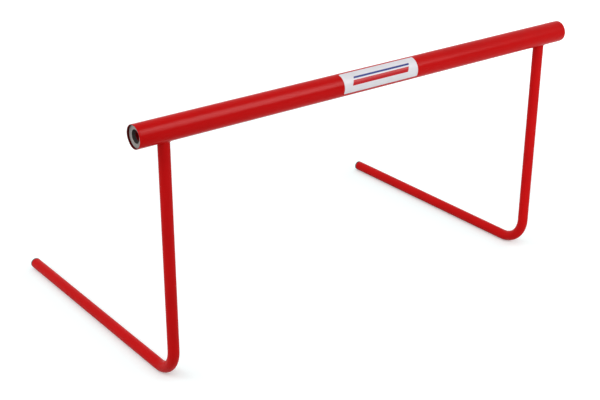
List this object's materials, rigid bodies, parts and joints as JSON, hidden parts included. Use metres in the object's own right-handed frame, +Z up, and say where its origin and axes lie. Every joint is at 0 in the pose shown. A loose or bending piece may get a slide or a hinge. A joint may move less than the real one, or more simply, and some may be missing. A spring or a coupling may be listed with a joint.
{
  "type": "speed hurdle",
  "caption": "Low training hurdle: a round foam-padded crossbar on bent tube legs whose feet run along the floor to one side, so it stands free and tips over when struck.",
  "frame": {"origin": "on the floor, below the middle of the hurdle's bounding box", "axes": "+X along the crossbar, +Y from the uprights towards the free ends of the feet, +Z up; the label faces -Y"},
  "size_m": [1, 0.5763, 0.5012],
  "materials": {
    "frame_paint": "satin",
    "foam_grey": "matte",
    "cover_red": "satin",
    "label_white": "satin",
    "plug_black": "satin"
  },
  "bodies": {
    "root": {"crossbar_core": "frame_paint", "left_leg": "frame_paint", "right_leg": "frame_paint", "left_weld": "frame_paint", "right_weld": "frame_paint", "foam_sleeve": "foam_grey", "sleeve_cover": "cover_red", "bar_label": "label_white", "left_foot_plug": "plug_black", "right_foot_plug": "plug_black"}
  },
  "joints": []
}
